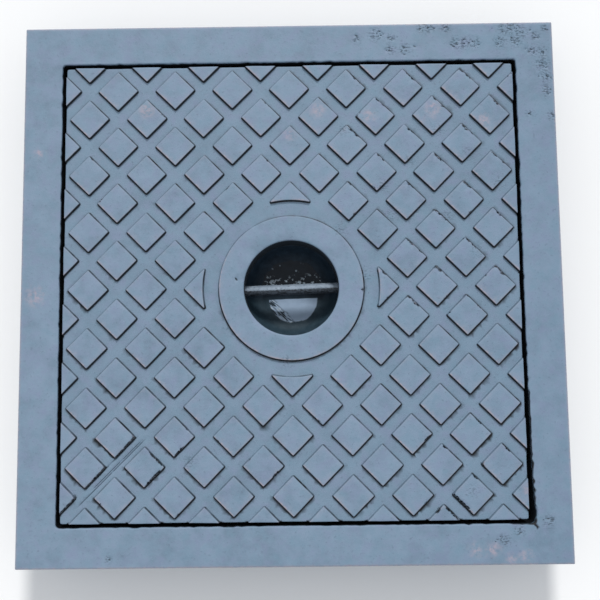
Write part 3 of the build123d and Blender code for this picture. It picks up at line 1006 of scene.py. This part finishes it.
# ---- finishes
class Finish:
    """One node material. add() makes a node, and takes sockets or plain values as its inputs."""

    def __init__(self, name):
        self.material = bpy.data.materials.new(name)
        self.material.use_nodes = True
        self.tree = self.material.node_tree
        self.shader = self.tree.nodes["Principled BSDF"]
        self.place = self.add("ShaderNodeTexCoord").outputs["Object"]

    def feed(self, socket, value):
        """Links a socket to another one, or gives it a plain value."""
        if isinstance(value, bpy.types.NodeSocket):
            self.tree.links.new(value, socket)
        else:
            socket.default_value = value

    def add(self, kind, inputs=(), **settings):
        node = self.tree.nodes.new(kind)
        for key, value in settings.items():
            setattr(node, key, value)
        for key, value in dict(inputs).items():
            self.feed(node.inputs[key], value)
        return node

    def grain(self, scale, detail=3.0, roughness=0.55, place=None):
        inputs = {"Vector": place or self.place, "Scale": scale, "Detail": detail, "Roughness": roughness}
        return self.add("ShaderNodeTexNoise", inputs).outputs["Fac"]

    def ramp(self, amount, *stops):
        """Maps 0..1 to colours. Each stop is (place, colour)."""
        node = self.add("ShaderNodeValToRGB", {"Fac": amount})
        points = node.color_ramp.elements
        for number, (place, colour) in enumerate(stops):
            point = points[number] if number < 2 else points.new(place)
            point.position = place
            point.color = (*colour, 1)
        return node.outputs["Color"]

    def grey(self, amount, low, high, from_value=0.0, to_value=1.0):
        """Maps low..high to from_value..to_value, and holds it at the ends."""
        node = self.add("ShaderNodeMapRange", {0: amount, 1: low, 2: high, 3: from_value, 4: to_value})
        return node.outputs["Result"]

    def mix(self, amount, a, b):
        node = self.add("ShaderNodeMix", data_type="RGBA", blend_type="MIX")
        for socket, value in ((0, amount), (6, a), (7, b)):
            self.feed(node.inputs[socket], (*value, 1) if isinstance(value, tuple) else value)
        return node.outputs[2]

    def math(self, how, a, b=0.0):
        return self.add("ShaderNodeMath", {0: a, 1: b}, operation=how).outputs[0]

    def times(self, a, b):
        return self.math("MULTIPLY", a, b)

    def plus(self, a, b):
        return self.math("ADD", a, b)

    def minus(self, a, b):
        return self.math("SUBTRACT", a, b)

    def squares(self, a, b):
        """The sum of two squares."""
        return self.plus(self.times(a, a), self.times(b, b))

    def axes(self):
        """X, Y and Z of each place."""
        outputs = self.add("ShaderNodeSeparateXYZ", {0: self.place}).outputs
        return outputs["X"], outputs["Y"], outputs["Z"]

    def mask(self, name):
        return self.add("ShaderNodeAttribute", attribute_name=name).outputs["Fac"]

    def set(self, **inputs):
        names = {"colour": "Base Color", "roughness": "Roughness", "metallic": "Metallic"}
        names |= {"normal": "Normal", "specular": "Specular IOR Level"}
        for key, value in inputs.items():
            self.feed(self.shader.inputs[names[key]], value)

    def bump(self, *layers):
        """Stacks bumps. Each layer is (height socket, depth in metres)."""
        normal = None
        for height, depth in layers:
            inputs = {"Height": height, "Distance": depth, "Strength": 1.0}
            if normal:
                inputs["Normal"] = normal
            normal = self.add("ShaderNodeBump", inputs).outputs["Normal"]
        self.set(normal=normal)

    def put_on(self, *objects):
        for thing in objects:
            thing.data.materials.clear()
            thing.data.materials.append(self.material)


PAINT = (0.165, 0.240, 0.332)
PAINT_LIGHT = (0.204, 0.285, 0.388)
PAINT_DARK = (0.116, 0.176, 0.247)
CHANNEL_PAINT = (0.148, 0.232, 0.312)
VIOLET_PAINT = (0.19, 0.225, 0.35)
GREEN_PAINT = (0.14, 0.245, 0.33)
DARK_SPECKLE = (0.085, 0.125, 0.18)
PALE_SPECKLE = (0.26, 0.345, 0.45)
PALE_SIDE = (0.30, 0.37, 0.46)
DARK_SIDE = (0.13, 0.2, 0.29)
WORN_EDGE = (0.42, 0.36, 0.40)
RUST_TINT = (0.45, 0.345, 0.39)
FURROW = (0.02, 0.035, 0.05)
# near black, for grime and for painted shade
DIRT_AND_PAINTED_SHADE = (0.004, 0.006, 0.009)


def painted_iron():
    """Weathered blue-grey paint on a rough casting, with grime and painted shade in its corners and gaps.
    """
    paint = Finish("weathered_blue_grey_paint")
    broad, patches = paint.grain(7.0, 2.0), paint.grain(46.0, 4.0, 0.6)
    speckle, fine = paint.grain(330.0, 3.0, 0.7), paint.grain(1150.0, 2.0, 0.6)
    hue = paint.grain(75.0, 3.0, 0.6)
    side = paint.axes()[0]
    worn = paint.times(paint.mask("wear"), paint.grey(speckle, 0.38, 0.6, 0.25, 0.95))
    blots = paint.grey(paint.grain(170.0, 4.0, 0.7), 0.40, 0.60)
    rusty = paint.times(paint.mask("rust"), blots)
    # sand-rough patches: short dark furrows, longest across the casting
    stretched = paint.add("ShaderNodeMapping", {0: paint.place, 3: (0.55, 1, 1)}).outputs[0]
    furrows = paint.grain(520.0, 4.0, 0.65, stretched)
    marks = paint.times(paint.mask("rough"), paint.grey(furrows, 0.52, 0.60))
    colour = paint.ramp(patches, (0.28, PAINT_DARK), (0.52, PAINT), (0.78, PAINT_LIGHT))
    # each layer over the last: what it follows, from and to which value, its strength there, its colour
    for follows, low, high, at_low, at_high, layer in (
        (broad, 0.3, 0.7, 0.0, 0.5, PAINT_LIGHT),
        (paint.mask("raised"), 0.0, 1.0, 0.35, 0.0, CHANNEL_PAINT),
        (hue, 0.5, 0.72, 0.0, 0.5, VIOLET_PAINT),
        (hue, 0.5, 0.28, 0.0, 0.5, GREEN_PAINT),
        (speckle, 0.60, 0.72, 0.0, 0.55, DARK_SPECKLE),
        (fine, 0.58, 0.74, 0.0, 0.4, PALE_SPECKLE),
        (side, -0.3, 0.3, 0.10, 0.0, PALE_SIDE),
        (side, 0.05, 0.3, 0.0, 0.14, DARK_SIDE),
        (worn, 0.0, 1.0, 0.0, 1.0, WORN_EDGE),
        (rusty, 0.0, 1.0, 0.0, 0.6, RUST_TINT),
        (marks, 0.0, 1.0, 0.0, 0.8, FURROW),
        # near black grime and painted shade: shadow lines by the lugs, the gap, the mouth and the opening
        (paint.mask("dirt_and_painted_shade"), 0.12, 0.72, 0.0, 1.0, DIRT_AND_PAINTED_SHADE),
    ):
        colour = paint.mix(paint.grey(follows, low, high, at_low, at_high), colour, layer)
    paint.set(colour=colour, roughness=paint.grey(patches, 0.3, 0.7, 0.50, 0.66), specular=0.4)
    pits = paint.minus(1.0, marks)
    paint.bump((patches, 0.45 * MM), (speckle, 0.22 * MM), (fine, 0.06 * MM), (pits, 0.4 * MM))
    return paint


def painted_sky_reflection(steel, across, up, wavy, mottle):
    """The sky's reflection in the water, painted into its colour. Wet streaks run down to the right across
    its lower left, painted as dark streaks and pale glints.
    """
    bright = steel.ramp(mottle, (0.25, (0.32, 0.43, 0.58)), (0.75, (0.38, 0.50, 0.66)))
    slanted = steel.add("ShaderNodeMapping", {0: steel.place, 2: (0, 0, math.radians(40))}).outputs[0]
    slanted = steel.add("ShaderNodeMapping", {0: slanted, 3: (1, 5, 1)}).outputs[0]
    streaks = steel.grain(110.0, 3.0, 0.6, slanted)
    corner = steel.grey(steel.plus(steel.plus(across, up), wavy), -29 * MM, -34 * MM)
    dark_streak = steel.times(corner, steel.grey(streaks, 0.46, 0.52, 1.0, 0.0))
    bright = steel.mix(dark_streak, bright, (0.02, 0.035, 0.05))
    # painted glint: pale streaks across the reflection's lower left
    painted_glint = steel.times(corner, steel.grey(streaks, 0.60, 0.66))
    return steel.mix(painted_glint, bright, (0.60, 0.68, 0.74))


def shaded_water(steel, up, edge, wavy, mottle):
    """The rest of the water, in painted shade, with foam along the bar and a few drops."""
    # painted shade: the water beyond the sky's reflection is painted near black
    dark = steel.ramp(mottle, (0.3, (0.009, 0.015, 0.024)), (0.7, (0.016, 0.026, 0.04)))
    beyond_bar = steel.grey(edge, 0.0, 4 * MM)
    near_bar = steel.grey(steel.plus(up, steel.times(wavy, 1.3)), 21 * MM, 10 * MM)
    foam = steel.grey(steel.grain(230.0, 2.0, 0.6), 0.55, 0.60)
    foam = steel.times(foam, steel.times(near_bar, beyond_bar))
    dark = steel.mix(foam, dark, (0.60, 0.72, 0.82))
    flecks = steel.add("ShaderNodeTexVoronoi", {"Vector": steel.place, "Scale": 135.0})
    drops = steel.grey(flecks.outputs["Distance"], 0.12, 0.20, 1.0, 0.0)
    drops = steel.times(drops, steel.grey(steel.grain(60.0, 2.0), 0.48, 0.54))
    return steel.mix(steel.times(drops, beyond_bar), dark, (0.30, 0.38, 0.46))


def dark_bowl_paint():
    """Dark pressed steel. Rain water stands on its floor; its reflection of the sky on one side, and its
    shade on the other, are painted into the colour.
    """
    steel = Finish("dark_wet_bowl")
    across, up, height = steel.axes()
    mottle, fine = steel.grain(120.0, 4.0, 0.65), steel.grain(700.0, 3.0, 0.7)
    dry = steel.ramp(mottle, (0.3, (0.010, 0.020, 0.034)), (0.7, (0.024, 0.044, 0.068)))
    dry = steel.mix(steel.grey(fine, 0.62, 0.75, 0.0, 0.5), dry, (0.10, 0.13, 0.17))
    # the water's outline wanders a little
    wavy = steel.times(steel.minus(steel.grain(70.0, 3.0), 0.5), 12 * MM)
    radius = steel.math("SQRT", steel.squares(across, up))
    wet = steel.grey(steel.plus(radius, wavy), 35.5 * MM, 37 * MM, 1.0, 0.0)
    wet = steel.times(wet, steel.grey(height, 14.5 * MM, 15 * MM))
    # its painted reflection of the sky: on the near side of a line along the bar, and inside an oval
    level = steel.minus(up, steel.times(across, math.tan(BAR_YAW)))
    edge = steel.plus(level, steel.times(wavy, 0.1))
    oval_x = steel.math("DIVIDE", steel.minus(across, 1.2 * MM), 28.5 * MM)
    oval_y = steel.math("DIVIDE", steel.plus(up, 9 * MM), 27.5 * MM)
    oval = steel.plus(steel.squares(oval_x, oval_y), steel.times(wavy, 18.0))
    # painted reflection: the sky's light is painted into the water's colour here
    sky = steel.grey(edge, -8.8 * MM, -8 * MM, 1.0, 0.0)
    sky = steel.times(sky, steel.grey(oval, 0.94, 1.02, 1.0, 0.0))
    dark = shaded_water(steel, up, edge, wavy, mottle)
    water = steel.mix(sky, dark, painted_sky_reflection(steel, across, up, wavy, mottle))
    # painted light: the wall on the side away from the light, which faces the light, is painted paler, and
    # so is the water near it outside the sky's reflection
    painted_lit_wall = steel.grey(up, -4 * MM, -12 * MM)
    lit_wall_colour = steel.ramp(mottle, (0.3, (0.019, 0.040, 0.058)), (0.7, (0.034, 0.062, 0.084)))
    dry = steel.mix(painted_lit_wall, dry, lit_wall_colour)
    water = steel.mix(steel.times(painted_lit_wall, steel.minus(1.0, sky)), water, lit_wall_colour)
    rough = steel.mix(wet, steel.ramp(fine, (0.3, (0.5,) * 3), (0.7, (0.65,) * 3)), (0.30,) * 3)
    steel.set(colour=steel.mix(wet, dry, water), roughness=rough, specular=0.2)
    steel.bump((steel.times(mottle, steel.grey(wet, 0.0, 1.0, 1.0, 0.1)), 0.5 * MM))
    return steel


def worn_bar_with_painted_shade():
    """Bar with lit and shaded halves painted on: rubbed bright on its half towards +Y, where the light
    falls, and pitted dark with painted shade on the half towards -Y.
    """
    bar = Finish("worn_pitted_steel_with_painted_shade")
    across, up, _ = bar.axes()
    pits, broad = bar.grain(420.0, 4.0, 0.7), bar.grain(60.0, 3.0)
    light = bar.ramp(broad, (0.3, (0.17, 0.22, 0.285)), (0.7, (0.27, 0.335, 0.41)))
    # painted shade: the half towards -Y, away from the light, is dark as well as pitted
    from_middle = bar.minus(up, bar.times(across, math.tan(BAR_YAW)))
    ragged = bar.grey(pits, 0.3, 0.7, -0.6 * MM, 0.6 * MM)
    pitted = bar.grey(bar.plus(from_middle, ragged), 0.2 * MM, -0.8 * MM)
    dark = bar.ramp(pits, (0.40, (0.008, 0.012, 0.018)), (0.68, (0.08, 0.105, 0.14)))
    colour = bar.mix(bar.grey(pits, 0.57, 0.66, 0.0, 0.7), light, (0.05, 0.07, 0.10))
    bar.set(colour=bar.mix(pitted, colour, dark), metallic=0.15,
            roughness=bar.grey(pits, 0.3, 0.7, 0.5, 0.7))
    bar.bump((pits, 0.25 * MM))
    return bar


def zinc_steel():
    zinc = Finish("dull_zinc_plating")
    bloom = zinc.grain(260.0, 3.0, 0.6)
    scratches = zinc.grain(1500.0, 2.0, 0.6)
    colour = zinc.ramp(bloom, (0.3, (0.24, 0.26, 0.28)), (0.7, (0.46, 0.48, 0.49)))
    rust = zinc.grey(zinc.grain(420.0, 4.0, 0.7), 0.60, 0.70, 0.0, 0.6)
    colour = zinc.mix(rust, colour, (0.16, 0.08, 0.04))
    zinc.set(colour=colour, roughness=zinc.grey(bloom, 0.3, 0.7, 0.32, 0.55), metallic=0.85)
    zinc.bump((scratches, 0.04 * MM))
    return zinc


def black_rubber():
    rubber = Finish("black_seal_rubber")
    dust = rubber.grain(180.0, 4.0, 0.65)
    fine = rubber.grain(900.0, 2.0, 0.6)
    colour = rubber.ramp(dust, (0.35, (0.010, 0.010, 0.011)), (0.75, (0.05, 0.052, 0.052)))
    rubber.set(colour=colour, roughness=rubber.grey(dust, 0.3, 0.7, 0.62, 0.85))
    rubber.bump((fine, 0.05 * MM))
    return rubber


# ---- stage
def make_floor():
    bm = bmesh.new()
    bmesh.ops.create_grid(bm, x_segments=2, y_segments=2, size=6.0)
    floor = smooth_object("floor", bm)
    floor.location.z = -0.2 * MM
    plain = Finish("pale_floor")
    plain.set(colour=(0.90, 0.90, 0.90, 1), roughness=0.9, specular=0.1)
    plain.put_on(floor)


def make_lights():
    sun = bpy.data.lights.new("key", "SUN")
    sun.energy = 2.0
    sun.angle = math.radians(12)
    sun.color = (1.0, 0.985, 0.96)
    key = bpy.data.objects.new("key", sun)
    key.rotation_euler = (math.radians(-44), 0, math.radians(-6))
    bpy.context.scene.collection.objects.link(key)
    world = bpy.data.worlds.new("overcast")
    world.use_nodes = True
    world.node_tree.nodes["Background"].inputs["Color"].default_value = (0.93, 0.96, 1.0, 1)
    world.node_tree.nodes["Background"].inputs["Strength"].default_value = 0.70
    bpy.context.scene.world = world


def make_camera():
    data = bpy.data.cameras.new("camera")
    data.lens = 60
    data.sensor_width = 36
    data.shift_x = 0.005
    data.shift_y = -0.083
    camera = bpy.data.objects.new("camera", data)
    camera.location = (0.0145, -0.093, 1.177)
    camera.rotation_euler = (math.radians(6.95), math.radians(0.485), math.radians(-0.67))
    bpy.context.scene.collection.objects.link(camera)
    bpy.context.scene.camera = camera
    bpy.context.scene.view_settings.view_transform = "Standard"


# ---- the object
def build():
    paint = painted_iron()
    cover, lugs, dents = make_cover()
    finish_cover(cover, lugs, dents)
    casting = make_frame()
    paint.put_on(cover, casting)
    bowl = make_bowl()
    dark_bowl_paint().put_on(bowl)
    bar = make_bar()
    worn_bar_with_painted_shade().put_on(bar)
    for piece, node, body, slot in (
        (cover, "cover_plate", "cover", "painted_cast_iron"),
        (casting, "frame", "frame", "painted_cast_iron"),
        (bowl, "lifting_bowl", "cover", "dark_painted_steel"),
        (bar, "lifting_bar", "bar", "worn_steel"),
    ):
        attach(piece, body)
        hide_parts(node)
    rubber = black_rubber()
    zinc = zinc_steel()
    for name, node in frame["nodes"].items():
        if "gasket" in name:
            rubber.put_on(node)
        elif "screw" in name or "washer" in name or "pin" in name:
            zinc.put_on(node)


build()
make_floor()
make_lights()
make_camera()
